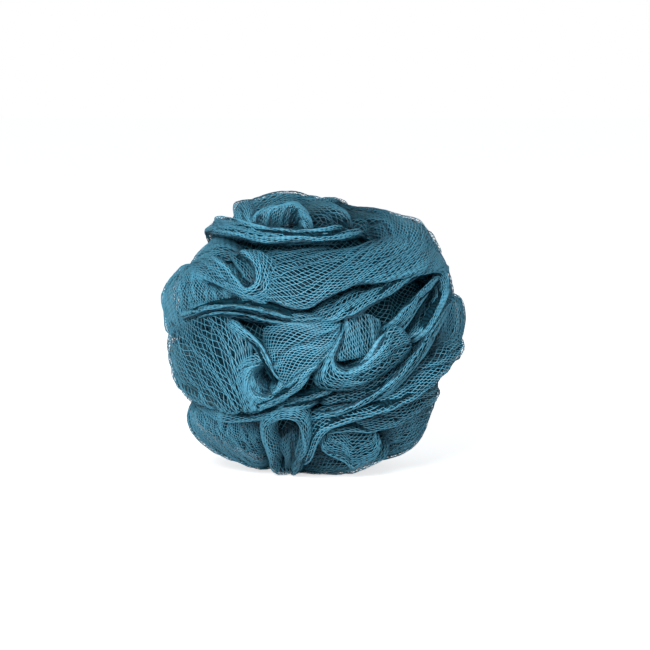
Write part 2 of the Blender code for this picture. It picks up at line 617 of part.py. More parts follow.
def stand_over_origin(netting, pieces):
    """Hangs every piece on one empty that brings the middle of the netting's box over the origin."""
    spots = np.array([vert.co for vert in netting.data.vertices])
    middle = (spots.min(axis=0) + spots.max(axis=0)) / 2
    stand = bpy.data.objects.new("stand", None)
    netting.users_collection[0].objects.link(stand)
    stand.location = (-middle[0], -middle[1], 0)
    for piece in pieces:
        piece.parent = stand


noise.seed_set(7)
clear_scene()
parts = new_collection("mesh_bath_pouf", True)
cutters = new_collection("cutters", False)

netting = gathered_netting(parts)
netting.data.materials.append(new_material("teal_netting", (0.06, 0.21, 0.28), 0.45))
for cutter in (floor_cutter(cutters), tie_seat(cutters), knot_seat(cutters), passage(cutters)):
    boolean(netting, "DIFFERENCE", cutter)

tie = waist_tie(parts, cutters)
tie.data.materials.append(new_material("teal_cord", (0.05, 0.17, 0.23), 0.6))

stand_over_origin(netting, [netting, tie, *cutters.objects])
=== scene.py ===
"""A mesh bath pouf: knitted netting, gathered into folds and tied round its middle with a cord."""

import math

import bmesh
import bpy
import numpy as np
from mathutils import Matrix, Vector, noise


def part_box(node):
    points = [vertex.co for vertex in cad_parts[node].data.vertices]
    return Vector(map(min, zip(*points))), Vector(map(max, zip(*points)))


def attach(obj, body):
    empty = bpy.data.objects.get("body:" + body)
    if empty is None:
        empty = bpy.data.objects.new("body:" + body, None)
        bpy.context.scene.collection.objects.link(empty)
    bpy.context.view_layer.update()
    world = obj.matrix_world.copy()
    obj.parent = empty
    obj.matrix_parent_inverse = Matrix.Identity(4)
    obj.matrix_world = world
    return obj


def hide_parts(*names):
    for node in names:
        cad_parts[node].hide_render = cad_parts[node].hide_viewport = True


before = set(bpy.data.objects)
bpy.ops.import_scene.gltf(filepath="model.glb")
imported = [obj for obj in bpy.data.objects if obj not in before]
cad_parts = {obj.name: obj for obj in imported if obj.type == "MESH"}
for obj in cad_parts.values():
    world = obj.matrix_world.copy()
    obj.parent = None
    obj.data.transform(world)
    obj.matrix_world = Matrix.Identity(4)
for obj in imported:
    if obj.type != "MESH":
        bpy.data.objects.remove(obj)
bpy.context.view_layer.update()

# The centre tie
# A soft twisted cord of the netting's own colour, wound three times round the gathered middle and knotted
# behind. It is the CAD piece as it is, in the look of laid yarn.
MM = 0.001
LAY_PITCH = 2.2 * MM

# A wave texture of scale 1 repeats after this many metres.
WAVE_LENGTH = 0.314


class Shade:
    """A shader socket: sums on it add Math nodes, and node() adds any other node to its material."""

    def __init__(self, tree, socket=None):
        self.tree = tree
        self.socket = socket

    def node(self, kind, settings, inputs, output=0):
        made = self.tree.nodes.new(kind)
        for name, value in settings.items():
            setattr(made, name, value)
        for name, value in inputs.items():
            if isinstance(value, Shade):
                self.tree.links.new(value.socket, made.inputs[name])
            else:
                made.inputs[name].default_value = value
        return Shade(self.tree, made.outputs[output])

    def feed(self, shader, name):
        self.tree.links.new(self.socket, shader.inputs[name])

    def math(self, operation, one, two):
        return self.node("ShaderNodeMath", {"operation": operation}, {0: one, 1: two})

    def mix(self, share, one, two):
        return self.node("ShaderNodeMix", {"data_type": "RGBA"}, {0: share, 6: (*one, 1), 7: (*two, 1)}, 2)

    def __add__(self, other):
        return self.math("ADD", self, other)

    __radd__ = __add__

    def __sub__(self, other):
        return self.math("SUBTRACT", self, other)

    def __rsub__(self, other):
        return self.math("SUBTRACT", other, self)

    def __mul__(self, other):
        return self.math("MULTIPLY", self, other)

    __rmul__ = __mul__


def new_finish(name):
    """A material's shader node and a Shade to build its nodes from."""
    finish = bpy.data.materials.new(name)
    finish.use_nodes = True
    return finish, finish.node_tree.nodes["Principled BSDF"], Shade(finish.node_tree)


tie_low, tie_high = (Vector(corner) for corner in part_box("centre_tie"))
TIE_RADIUS = (tie_high.x - tie_low.x) / 2
BALL_CENTRE = Vector(((tie_low.x + tie_high.x) / 2, tie_low.y + TIE_RADIUS, (tie_low.z + tie_high.z) / 2))

cord_finish, shader, start = new_finish("laid_cord")
place = start.node("ShaderNodeTexCoord", {}, {}, "Object")
yarn = start.node("ShaderNodeTexWave", {"bands_direction": "DIAGONAL"}, {
    "Vector": place, "Scale": WAVE_LENGTH / LAY_PITCH, "Distortion": 1.5, "Detail": 2,
})
fuzz = start.node("ShaderNodeTexNoise", {}, {"Vector": place, "Scale": 900, "Detail": 3})
colour = start.mix(yarn * 0.7 + fuzz * 0.3, (0.02, 0.085, 0.12), (0.08, 0.26, 0.34))
colour.feed(shader, "Base Color")
(0.5 + fuzz * 0.25).feed(shader, "Roughness")
relief = start.node("ShaderNodeBump", {}, {
    "Height": yarn + fuzz * 0.3, "Strength": 0.8, "Distance": 0.4 * MM,
})
relief.feed(shader, "Normal")
tie = bpy.data.objects["centre_tie"]
tie.material_slots[0].material = cord_finish

# The gathered middle
# Dozens of layers of netting pressed together where the cord holds them. From outside it is only a
# close-packed bundle seen in the depths between the folds; its near-black colour is painted shade, over a
# faint pattern of strands.
CORE_RADIUS = 48.5 * MM
CORE_RELIEF = 2.4 * MM
WIDE_WRINKLES = 5.5
FINE_WRINKLES = 11
FINE_SHARE = 0.4

# How wide the tube of netting is where it lies flat.
TUBE_WIDTH = 120 * MM

noise.seed_set(7)


def add_piece(name, bm, finish, length=0, share=1):
    """An object from the finished mesh; a sheet's area is reckoned from its tube length and strands' share,
    but unused.
    """
    mesh = bpy.data.meshes.new(name)
    bm.to_mesh(mesh)
    bm.free()
    mesh.shade_smooth()
    mesh.materials.append(finish)
    piece = bpy.data.objects.new(name, mesh)
    bpy.context.scene.collection.objects.link(piece)
    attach(piece, "root")
    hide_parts("netting")
    if length:
        area = share * TUBE_WIDTH * length


packed_shade_finish, shader, start = new_finish("packed_netting_painted_shade")
place = start.node("ShaderNodeTexCoord", {}, {}, "Object")
wander = start.node("ShaderNodeTexNoise", {}, {"Vector": place, "Scale": 90, "Detail": 4})
strands = start.node("ShaderNodeTexWave", {"bands_direction": "DIAGONAL"}, {
    "Vector": place, "Scale": 190, "Distortion": 9, "Detail": 3, "Detail Scale": 1.6,
})
# Near-black teal over the strands' pattern: painted shade of the packed netting.
colour = start.mix(strands * wander, (0.001, 0.013, 0.022), (0.008, 0.07, 0.105))
colour.feed(shader, "Base Color")
(0.85 - wander * 0.2).feed(shader, "Roughness")
shader.inputs["Specular IOR Level"].default_value = 0.1
relief = start.node("ShaderNodeBump", {}, {"Height": strands, "Strength": 0.7, "Distance": 0.6 * MM})
relief.feed(shader, "Normal")

bm = bmesh.new()
bmesh.ops.create_icosphere(bm, subdivisions=6, radius=1)
for vert in bm.verts:
    wrinkle = abs(noise.noise(vert.co * WIDE_WRINKLES))
    wrinkle -= abs(noise.noise(vert.co * FINE_WRINKLES)) * FINE_SHARE
    vert.co = BALL_CENTRE + vert.co * (CORE_RADIUS - CORE_RELIEF * (1 - 2 * wrinkle))
add_piece("gathered_middle", bm, packed_shade_finish)

# The netting of the face
# One tube of knitted polyethylene mesh, metres long, of which each fold here is a length: it rises out of the
# gathered middle, turns over at its lip and goes back in. The knit's diamonds stand open where the mesh is
# slack and close to fine lines where it is pulled.
BALL_RADIUS = 60 * MM
FACE_TILT = math.radians(6)

# The layout of the face is in millimetres on a ball of this radius.
LAYOUT_RADIUS = 60

# How a fold goes over: its rolled lip, the drop of its two ends, its flank as shares of the way from the tail
# to the lip, each with the share of the sink that is left there, its crumpling, and the waves along its lip.
LIP_ROLL = 1.1 * MM
LIP_CROWN = 0.3 * MM
END_DROP = 7 * MM
END_LENGTH = 70 * MM
END_SHARE = 0.14
FLANK = ((0, 1), (0.16, 0.6), (0.4, 0.24), (0.72, 0.03))
CRUMPLE = 0.9 * MM
CRUMPLE_LENGTH = 17 * MM
LIP_WAVE = 9 * MM
NET_GRID = (56, 32)

# The strands: half as deep as they are wide, thicker where they run together along a lip, and drawn closer
# towards it. What would reach under the ball is laid just above the floor.
STRAND = 0.24 * MM
STRAND_DEPTH = 0.12 * MM
LIP_STRAND = 0.3 * MM
LIP_BAND = 0.6 * MM
LIP_GATHER = 1.18
LEAST_HEIGHT = 0.4 * MM
FLOOR_RISE = 0.04

# How unevenly they lie: bunched side by side, wandering, rippled in and out, and pressed in along creases.
# The two steps give each fold and each layer a pattern of its own.
BUNCHING = 1.4 * MM
BUNCH_LENGTH = 15 * MM
BUNCH_WIDTH = 3.4 * MM
WANDER = 0.42 * MM
CELL_SHAKE = 2.4 * MM
RIPPLE = 0.45 * MM
CREASE_DEPTH = 1.3 * MM
CREASE_LENGTH = 30 * MM
CREASE_WIDTH = 5.5 * MM
CREASE_SHARPNESS = 5
FOLD_STEP = 7
LAYER_STEP = 900

# For each fold: how far in millimetres its tail sinks, how far its inner wall runs past the lip (less than 0
# where it tucks back underneath), how deep that wall ends, and the stations along it, each as lip across, lip
# up, tail across, tail up and the lip's height above the ball.
FACE_FOLDS = {
    "crown": (7, -8, 9, [
        (-44, 56, -40, 45, -1), (-36, 61, -32, 46, -0.6), (-25, 65, -24, 47, -0.6),
        (-10, 70, -9, 49, -1.9), (4, 69, 4, 46, -6.4), (18, 66, 15, 43, -6), (31, 60, 27, 43, -3.2),
        (44, 54, 37, 42, -1.2),
    ]),
    "crown_corner": (4, -4, 7, [
        (-31.4, 42, -22, 43, -2), (-32, 46.4, -23, 48, -0.2), (-32.2, 50.6, -24, 53, 0.8),
        (-31.6, 55, -24, 58, 0.8), (-29, 61, -22, 63, -1),
    ]),
    "crown_arch": (3, 2, 8, [
        (-24, 41.5, -28, 42, -2.2), (-23, 45.4, -26.8, 47.6, -1.6), (-18.6, 48, -19.8, 52, -1.2),
        (-12.6, 49.4, -12.6, 53.6, -1), (-8.4, 50.8, -7, 54.6, -0.9), (-5.6, 48, -2.4, 50.6, -1.2),
        (-4.2, 44, -0.4, 45.6, -1.6), (-3.4, 40.4, 0.4, 41, -2.4),
    ]),
    "upper_band": (3, -4, 8, [
        (-54, 43, -48, 55, -0.8), (-46, 41, -40, 50, 0.2), (-37.5, 39.4, -33.4, 47, 0),
        (-29, 37.8, -26.6, 44.6, 0), (-21, 36, -19, 42, 0.3), (-12, 36, -10, 41.4, 0.3),
        (-3, 36.6, -2, 40.8, 0.3), (5, 36.6, 4, 40.6, 0.2), (12, 37.4, 11, 41.6, -0.6),
        (18, 39, 17, 43, -2.6), (24, 41, 23, 45, -5.4),
    ]),
    "band_top": (0.4, -3, 5, [
        (-50, 46.6, -47, 42, 0.4), (-42, 47, -40, 42.4, 1.2), (-35, 46.6, -34, 42, 0),
        (-29, 45, -28.4, 40.6, 0), (-22, 43, -22, 38.8, 0), (-14, 41.8, -14, 38, 0.2),
        (-4, 41, -4, 37.4, 0), (4, 41.6, 3.6, 37.6, -0.8), (10, 43, 9.4, 38.4, -2.8),
        (16, 43.6, 15, 39.4, -5.4),
    ]),
    "left_step": (5, -5, 8, [
        (-56, 28, -55, 48, -3.2), (-47, 27.4, -47, 46, -3), (-38, 27.6, -38, 44, -3.2),
        (-30, 31, -28, 41, -4.6),
    ]),
    "great_sheet": (8, -5, 9, [
        (-27, 17, -33, 35, -1), (-19, 13.2, -21, 38, 0), (-10, 10.2, -9, 39, 0), (-2, 9.6, 1, 39, 0),
        (7, 14.6, 11, 38, 0), (17, 18.6, 21, 40, 0), (29, 20.3, 33, 45, 0), (41, 22.6, 45, 52, 1),
        (53, 25, 56, 50, 0.5), (64, 28, 66, 46, -1),
    ]),
    "right_corner": (4, -5, 8, [
        (24, 56, 24, 42, -5), (31, 54.6, 29, 40, -3.2), (38.4, 52, 33, 38, -1.4), (45.6, 48, 37, 36, 1.7),
        (50, 42, 40, 33, 1.7), (53, 36, 43, 30, 0.8), (57, 29, 46, 27, -1.5),
    ]),
    "notch": (5, 3.5, 10, [
        (-42, 32, -48, 25, -0.5), (-35.6, 27.6, -41, 20, 0.5), (-31, 22.4, -34, 14.8, 0.5),
        (-27, 17.6, -27, 11.5, 0.5), (-23.4, 19.4, -17, 14, 1), (-22.8, 24.4, -14.6, 22, 1),
        (-25.8, 30, -16, 31, 1), (-32, 33.8, -25, 37.6, 0),
    ]),
    "notch_flap": (5, 2, 6, [
        (-33.6, 31.5, -27, 34, -4.2), (-30, 26.2, -22.5, 28, -3.6), (-26.4, 20.6, -20, 21, -4.5),
    ]),
    "shoulder_strap": (5, -4, 9, [
        (-57, 17.6, -55, 33, -3), (-50, 20, -49.6, 33, -1.5), (-43, 20.2, -42.6, 33, -0.6),
        (-36, 18.2, -35, 26, -0.5), (-29.5, 15.2, -28, 20, -0.5), (-22, 12, -21, 16, -1),
        (-14, 10, -13, 13, -1.5),
    ]),
    "left_cheek": (8, -7, 8, [
        (-50, 30, -38, 27, -4.4), (-58, 27.6, -36, 23, 0), (-67, 17, -36, 17, 3), (-67, 6, -38, 10, -0.1),
        (-60, -3, -42, 3, -2),
    ]),
    "left_lobe": (8, -5, 9, [
        (-57, 4, -54, 17, -4), (-51, 5.6, -50, 16.6, -1.5), (-45, 8, -45, 15, -1),
        (-37, 9.8, -37, 13.6, -1.5), (-28, 9.6, -28, 12.6, -1.5), (-18, 7.8, -18, 10.8, -1),
        (-9, 5.6, -9, 9, -1), (-1, 5.6, -1, 9.6, -1.5),
    ]),
    "pocket_lining": (4, -4, 6, [
        (-46, 13, -47, 22, -6), (-38, 13.6, -38, 21.6, -5), (-30, 12.6, -30, 18, -5),
        (-22, 10, -22, 15, -6),
    ]),
    "lower_strap": (6, -3, 7, [
        (-49, 4.6, -48, 9.6, -2), (-40, 7.2, -39, 10.4, -2.5), (-30, 7, -29, 9.6, -2.5),
        (-20, 4.6, -19, 7.6, -2.5), (-11, 3, -10, 5.6, -2.5), (-2, 3.8, -2, 6.4, -3),
    ]),
    "long_band": (8, -4, 9, [
        (-3, 4.4, -7, 10, -2), (8, 4.2, 1, 12.6, -1), (15, 6.2, 9, 16.4, -0.5), (21, 9.6, 17, 19.4, -0.5),
        (28, 13.6, 25, 21.4, -0.5), (35, 18.2, 33, 24, 0), (41, 22.2, 40, 27, 0.5),
        (48, 25.6, 47, 30, 0.5), (55, 26, 54, 31, -0.5),
    ]),
    "right_loop": (8, -3, 9, [
        (49.5, 24, 52, 22, -1), (47, 21.6, 50, 18.4, 0.5), (41.5, 16.4, 46.5, 12.4, 1),
        (36, 10.4, 43, 6, 1), (31, 5.4, 39, 0.4, 0.5), (26.5, 2, 35, -4, -1.5),
    ]),
    "outer_strap": (8, -3, 9, [
        (42, 26.6, 42, 23.6, -0.5), (49.5, 26.6, 48, 23.4, 0), (54, 22.6, 50.4, 21, 0),
        (53.6, 16, 49.4, 15.6, 0), (50.6, 9, 46.4, 8.8, 0), (46.6, 1.4, 42, 2, 0),
        (42, -5.4, 38.4, -3.4, -0.5),
    ]),
    "right_crescent": (7, -5, 8, [
        (51, 44, 44, 40, -1), (54, 36, 47, 36, 0), (58, 26, 50, 26, -0.5), (60, 15, 52, 15, -2),
        (58, 5, 50, 6, -4),
    ]),
    "right_ear": (6, -5, 7, [
        (57, 18, 51, 15, -1), (64, 14, 54, 11, 1.3), (67, 7, 55, 5, 1.2), (66, -2, 54, -3, -0.9),
        (62, -11, 52, -9, -2.4), (57, -19, 49, -14, -5),
    ]),
    "lap_lobe": (3.4, -5, 9, [
        (-68, -13, -70, 5, -1), (-58, -20.2, -61, 6, -0.6), (-49.5, -25.8, -52, 7.4, -0.5),
        (-41, -29.8, -40, 8.6, 0), (-34, -31.6, -30, 4.6, 0.5), (-29.6, -32, -25.6, -5, 0.6),
        (-26, -31.8, -24.6, -17, 0.8), (-21, -30.6, -20.6, -25, 1), (-15.6, -28.6, -15.6, -23.6, 1),
        (-10, -25.8, -11.4, -20.6, 1), (-4, -20.8, -8.4, -16, 1), (1, -14.8, -5, -9, 0.5),
        (4.4, -10, 0, -4, 0),
    ]),
    "crease_ridge": (4, -3, 9, [
        (-33, 6.6, -38, 4, -2.4), (-27, 2, -32, -1.6, -0.8), (-21, -3.4, -26, -6, -0.2),
        (-17.6, -9.4, -22, -10, 0.2), (-14.8, -15.4, -18.4, -15, 0.4), (-11.6, -20, -15, -20, 0),
    ]),
    "dimple": (1.2, 3.6, 10, [
        (-17.4, -12.6, -17.4, -9, -1.4), (-21.6, -11.6, -23, -7.6, -0.4), (-25, -14.4, -29.6, -12.6, 0),
        (-25.6, -19.6, -30, -21.4, 0.2), (-23.6, -23.8, -26, -27.6, 0.4), (-18.6, -25, -17.6, -28.4, 0.5),
        (-14.6, -22.4, -10.4, -23.4, 0.2), (-13.8, -18, -8.6, -17, -0.8),
    ]),
    "middle_lobe": (5, -4, 8, [
        (12, 4.4, 1, 9, -1.5), (9.4, -3, -7, 9, -0.5), (5, -9.8, -15, 8, 0), (0, -15, -21.4, 3, 0),
        (-6.4, -19.6, -21, -6, 0), (-13, -22.6, -19, -14, -1),
    ]),
    "hook": (8, 1.2, 9, [
        (13, 3.4, 9, 4, -0.5), (10.6, -2.6, 6, -3, 0.4), (8, -8.4, 2.6, -10.6, 1),
        (8.6, -12.8, -1, -22, 1), (12.6, -15, 8, -25.8, 1), (18, -13, 17, -25, 1),
        (23, -8.4, 26, -21.6, 1), (27, -3, 34, -16.6, 1), (31, 2.6, 42, -9.4, 0.7),
        (36.5, 2.6, 45, -3.6, -0.5),
    ]),
    "hook_flap": (2.4, -2.6, 5, [
        (5, -12, 9, 3, -3.4), (9, -11.4, 11, 5, -2.4), (13, -10.8, 14, 7.4, -1.8),
        (17, -10.2, 18.4, 8.4, -1.7), (21, -9.2, 23, 7.4, -2), (26, -8, 28.6, 5, -3.2),
    ]),
    "hook_inner": (1, -2.5, 6, [
        (14.6, -13.4, 17, -15.4, -2.2), (19.4, -10.4, 22.4, -13, -0.6), (22.4, -6, 26, -7.8, 0),
        (25.4, -1, 29.6, -2.2, 0), (29, 2.8, 32.4, 1, -0.8),
    ]),
    "right_band": (7, -3, 9, [
        (58, 16, 63, 12, -1.5), (52, 11, 57.4, 7, -1), (45.8, 1.6, 52, -2.6, -0.5),
        (40.2, -7.4, 46, -11.4, 0), (34, -14.6, 39, -20, 0), (27.4, -20.8, 32, -26, 0),
        (20, -25.8, 23, -30, 0), (12, -29.2, 14, -33.6, 0), (4, -31.6, 7, -36.8, -0.5),
        (-4, -32.6, 0, -38, -1.5),
    ]),
    "sweeping_band": (7, -4, 9, [
        (70, 0, 70, 10, 0), (62, -4, 62, 6, 0.5), (55, -13.4, 54, -4, 0), (47, -20.8, 46, -12, 0),
        (39, -26.4, 39, -18.6, 0), (30, -30.6, 31, -24.6, 0.5), (20, -33.6, 22, -27.6, 0.5),
        (11, -36, 13, -29.6, 0.5), (4.6, -39.4, 3, -31.6, 0.5), (1.6, -44.6, -3, -37, 0),
        (-1, -50, -6, -46, -0.5), (-6, -56, -11, -53, -1.5),
    ]),
    "shelf": (7, -4, 8, [
        (54, -23, 52, -15, -4), (46, -28.4, 44, -20.6, -3), (38, -34, 36, -27.4, -2.5),
        (30, -38, 28, -31.4, -2), (22, -39.6, 20, -33.6, -2), (14, -38.8, 13, -35, -2),
        (7, -40, 6, -37, -2), (2, -44, 1, -41, -3),
    ]),
    "flank_upper": (7, -5, 8, [
        (62, -24, 58, -14, -6), (54, -28, 51, -18, -5), (46, -35.6, 43, -26, -3),
        (37, -41.6, 35, -32, -3), (28, -45.6, 26, -38, -4),
    ]),
    "flank_lower": (7, -6, 8, [
        (58, -38, 50, -27, -4.6), (53, -46, 44, -33, -1.2), (44, -54, 37, -40, 0.6),
        (32, -59, 29, -45, -2), (20, -61, 19, -49, -4),
    ]),
    "lower_lining": (4, -4, 6, [
        (36, -15, 38, -9, -6), (28, -21.6, 29, -15, -4.6), (19, -26.4, 19, -20, -4.4),
        (10, -28, 10, -22.6, -5), (1, -29.6, 0, -24, -6),
    ]),
    "under_lip": (7, -4, 9, [
        (-54, -24, -54, -16, -5.6), (-46.4, -30, -46, -22.6, -3), (-41, -33.2, -40, -26, -2),
        (-34, -35.2, -33, -28, -1.5), (-27, -35.4, -26, -28.4, -1.5), (-19, -34, -18, -27.4, -1.5),
        (-11, -31.8, -10, -26, -1.5), (-3, -30.4, -2, -25.4, -2), (5, -29.4, 6, -25, -4),
    ]),
    "inner_lip": (6, -3, 8, [
        (-12, -27, -12, -22, -4), (-4, -27, -3, -22, -3.5), (3, -25, 4, -21, -4),
        (10, -22.4, 10, -18, -5),
    ]),
    "lower_left_lobe": (8, -6, 8, [
        (-54, -27, -46, -23, -7), (-59, -34, -45, -28.6, -1), (-56, -44, -38, -30.4, 2.5),
        (-46, -53, -32, -31.6, 2.1), (-35, -58.6, -27, -32.4, 0.3), (-25, -61.4, -23, -34, -0.8),
        (-16, -63, -19.6, -36, -1.4),
    ]),
    "centre_loop": (8, 3.2, 8, [
        (-13.2, -58, -18.4, -58, -1.5), (-16, -49, -21, -49, 0), (-18.4, -41.6, -23, -42, 0.5),
        (-17.6, -36.2, -23, -34, 0.5), (-12.4, -33.4, -13.4, -28.6, 0.5), (-6.4, -34.6, -2.4, -29.6, 0),
        (-4, -39.6, 0.6, -38, 0), (-3.8, -45, 0.8, -45, 0), (-6.2, -51, -2, -52.4, -0.5),
        (-10.6, -57.6, -5.6, -59, -1.5),
    ]),
    "loop_lining": (3, -3, 5, [
        (-14.6, -40, -8, -34.6, -6.5), (-13.4, -45, -4.4, -40, -5), (-11.6, -50, -4.6, -47, -4),
        (-10.6, -55, -7, -54, -4),
    ]),
    "round_lobe": (7, -4, 7, [
        (3.4, -38.6, 7, -37.4, -2.4), (2.6, -44.4, 9, -38.4, -0.6), (6.6, -48.6, 11, -39, -0.2),
        (12, -51, 13.4, -39.4, 0.4), (15.6, -54, 15.4, -39.4, 0.6), (20, -51.6, 17.6, -39, 0),
        (25, -48.6, 20.6, -38.6, -0.2), (27, -43.4, 23.4, -38, -1), (26, -38.6, 25, -36.6, -2.6),
    ]),
    "base_lobe": (6, -6, 7, [
        (-9, -56, -6, -44, -5), (-2, -56.6, 0, -44.6, -4.6), (6, -57.4, 6, -46, -4),
        (13, -57.6, 11, -47.6, -3.8), (19, -56, 16, -48, -6),
    ]),
}

# The open knit, and the knit of each fold where it lies in another way: a diamond's length and width in
# millimetres, how far in degrees its length leans from the fold's own run, and how much that lean bends over
# from one end to the other.
OPEN_CELL = (3.8, 1.2, 6, 0)
KNIT_ON_FOLD = {
    "crown": (4, 1.25, -6, 0), "crown_corner": (3.4, 0.9, 6, 0), "crown_arch": (3.4, 0.75, 30, 0),
    "upper_band": (4.6, 1.0, 6, 0), "band_top": (4.6, 1.0, 4, 0), "great_sheet": (4.2, 1.5, 22, 1.1),
    "right_corner": (3.6, 1.5, 40, 0), "notch": (4.4, 1.2, 0, 0), "notch_flap": (4.2, 1.0, 0, 0),
    "shoulder_strap": (5, 1.0, -4, 0), "left_cheek": (3.6, 0.95, 14, 0), "left_lobe": (4.6, 0.85, 4, 0),
    "lower_strap": (5, 0.75, 0, 0), "long_band": (5, 1.05, 14, 0), "right_loop": (5, 1.0, 6, 0),
    "outer_strap": (5, 0.8, 0, 0), "right_crescent": (4.4, 1.2, 0, 0), "right_ear": (3.4, 0.95, 10, 0),
    "lap_lobe": (4.8, 1.2, -22, 0), "crease_ridge": (4.8, 0.8, 0, 0), "dimple": (4, 1.0, 20, 0),
    "middle_lobe": (2.6, 1.05, 20, 0), "hook": (4.8, 1.1, 8, 0), "hook_flap": (4.4, 1.0, -58, 0),
    "hook_inner": (4.4, 0.65, 0, 0), "right_band": (4.6, 1.15, 10, 0), "sweeping_band": (4.2, 1.15, 12, 0),
    "shelf": (4.8, 1.05, 6, 0), "flank_upper": (4.6, 1.1, 0, 0), "flank_lower": (4.6, 1.2, 0, 0),
    "under_lip": (4.8, 0.85, 4, 0), "lower_left_lobe": (3.6, 1.0, -24, 0), "centre_loop": (4.4, 1.0, 4, 0),
    "loop_lining": (4, 0.8, 0, 0), "round_lobe": (7, 1.0, 0, 0),
}


def smooth_points(points, places):
    """Points on the smooth curve through the given ones; each place runs from 0 to 1 along them."""
    points = np.asarray(points, float)
    last = len(points) - 1
    at = np.asarray(places) * last
    start = np.clip(at.astype(int), 0, last - 1)
    part = (at - start)[:, None]
    one, two = points[start], points[start + 1]
    before = points[np.maximum(start - 1, 0)]
    after = points[np.minimum(start + 2, last)]
    bend = before - 2.5 * one + 2 * two - 0.5 * after
    turn = 1.5 * (one - two) + 0.5 * (after - before)
    return one + part * (0.5 * (two - before) + part * (bend + part * turn))


def even_places(points, count):
    """Places along the smooth curve through the points that lie equal lengths apart."""
    fine = np.linspace(0, 1, 12 * len(points))
    steps = np.linalg.norm(np.diff(smooth_points(points, fine), axis=0), axis=1)
    run = np.concatenate([[0], np.cumsum(steps)])
    return np.interp(np.linspace(0, run[-1], count), run, fine)


def unit(rows):
    """Directions of length 1."""
    return rows / np.linalg.norm(rows, axis=-1, keepdims=True)


def face_direction(across, up, height):
    """The direction from the ball's centre to a place of the layout; what lies past its edge goes behind."""
    radius = LAYOUT_RADIUS + height
    reach = math.hypot(across, up)
    turn = math.asin(reach / radius) if reach < radius else math.pi / 2 + (reach - radius) / radius
    out = math.cos(turn)
    right = math.sin(turn) * across / reach
    rise = math.sin(turn) * up / reach
    tilt_out, tilt_up = math.sin(FACE_TILT), math.cos(FACE_TILT)
    return (right, rise * tilt_out - out * tilt_up, out * tilt_out + rise * tilt_up)


def face_fold(name):
    """(stations, sink, run, dip) of a listed fold; a station is lip direction, tail direction, height."""
    sink, run, dip, rows = FACE_FOLDS[name]
    stations = [
        (*face_direction(row[0], row[1], row[4]), *face_direction(row[2], row[3], row[4]), row[4] * MM)
        for row in rows
    ]
    return stations, sink * MM, run * MM, dip * MM


def section(length, sink, run, dip, count):
    """The outline across a fold as (way from tail to lip and beyond, height), in equal steps."""
    if run < 0:
        turned = [(length, -LIP_ROLL), (length - LIP_ROLL, -2 * LIP_ROLL)]
    else:
        turned = [(length + 0.1 * run, -0.4 * LIP_ROLL), (length + 0.55 * run, -0.45 * dip)]
    flank = [(share * length, -left * sink) for share, left in FLANK]
    outline = [*flank, (length - LIP_ROLL, LIP_CROWN), *turned, (length + run, -dip)]
    return smooth_points(outline, even_places(outline, count))


def fold_points(fold, along, across, overhang=0):
    """A grid of points on a fold: rows along it, and in each row the way from its tail over its lip."""
    stations, sink, run, dip = fold
    lips = np.array(stations)[:, :3] * BALL_RADIUS
    length = float(np.linalg.norm(np.diff(lips, axis=0), axis=1).sum())
    drop = END_DROP * min(1, length / END_LENGTH)
    rows = smooth_points(stations, even_places(np.array(stations)[:, :3], along))
    grid = []
    for place, row in zip(np.linspace(0, 1, along), rows):
        lip, tail = unit(row[:3]), unit(row[3:6])
        width = math.acos(min(1, float(lip @ tail)))
        beyond = unit(lip - tail * float(lip @ tail))
        beyond = unit(beyond - lip * float(beyond @ lip))
        end_drop = drop * max(0, 1 - min(place, 1 - place) / END_SHARE) ** 2
        wave = noise.noise(Vector((place * length / LIP_WAVE, sink * 9000, run * 9000)))
        past = overhang * (0.7 + 1.2 * wave)
        for way, height in section(width * BALL_RADIUS + past, sink, run, dip, across):
            turn = way / BALL_RADIUS - width
            out = lip * math.cos(turn) + beyond * math.sin(turn)
            radius = BALL_RADIUS + row[6] + height - end_drop
            spot = Vector(out * radius)
            radius += CRUMPLE * noise.noise(spot / CRUMPLE_LENGTH)
            grid.append(np.array(out * radius))
    return np.array(grid).reshape(along, across, 3)


def fold_width(fold):
    """The mean width of a fold from its tail to its lip."""
    spans = [float(unit(np.array(row[:3])) @ unit(np.array(row[3:6]))) for row in fold[0]]
    return BALL_RADIUS * sum(math.acos(min(1, span)) for span in spans) / len(spans)


def flat_knit(bm, wide, long, cell_long, cell_wide, lean, bend):
    """The knit's diamonds laid flat, cut to the fold's width (x) and length (y) with one corner at 0, 0."""
    turn = math.radians(lean)
    reach_x = abs(wide * math.cos(turn)) + abs(long * math.sin(turn)) + bend * long / 2
    reach_y = abs(wide * math.sin(turn)) + abs(long * math.cos(turn))
    columns = max(3, round(reach_x / cell_wide))
    rows = max(3, round(reach_y / cell_long))
    bmesh.ops.create_grid(bm, x_segments=columns, y_segments=rows, size=0.5)
    inner = [edge for edge in bm.edges if not edge.is_boundary]
    bmesh.ops.poke(bm, faces=bm.faces[:])
    bmesh.ops.dissolve_edges(bm, edges=inner, use_verts=False)
    bmesh.ops.scale(bm, verts=bm.verts, vec=(reach_x, reach_y, 1))
    bmesh.ops.rotate(bm, verts=bm.verts, cent=(0, 0, 0), matrix=Matrix.Rotation(turn, 3, "Z"))
    bmesh.ops.translate(bm, verts=bm.verts, vec=(wide / 2, long / 2, 0))
    for vert in bm.verts:
        vert.co.x -= bend * (vert.co.y - long / 2) ** 2 / long
    if lean or bend:
        near, far = (0, 0, 0), (wide, long, 0)
        for spot, way in ((near, (-1, 0, 0)), (near, (0, -1, 0)), (far, (1, 0, 0)), (far, (0, 1, 0))):
            every = bm.verts[:] + bm.edges[:] + bm.faces[:]
            bmesh.ops.bisect_plane(bm, geom=every, dist=1e-7, plane_co=spot, plane_no=way, clear_outer=True)


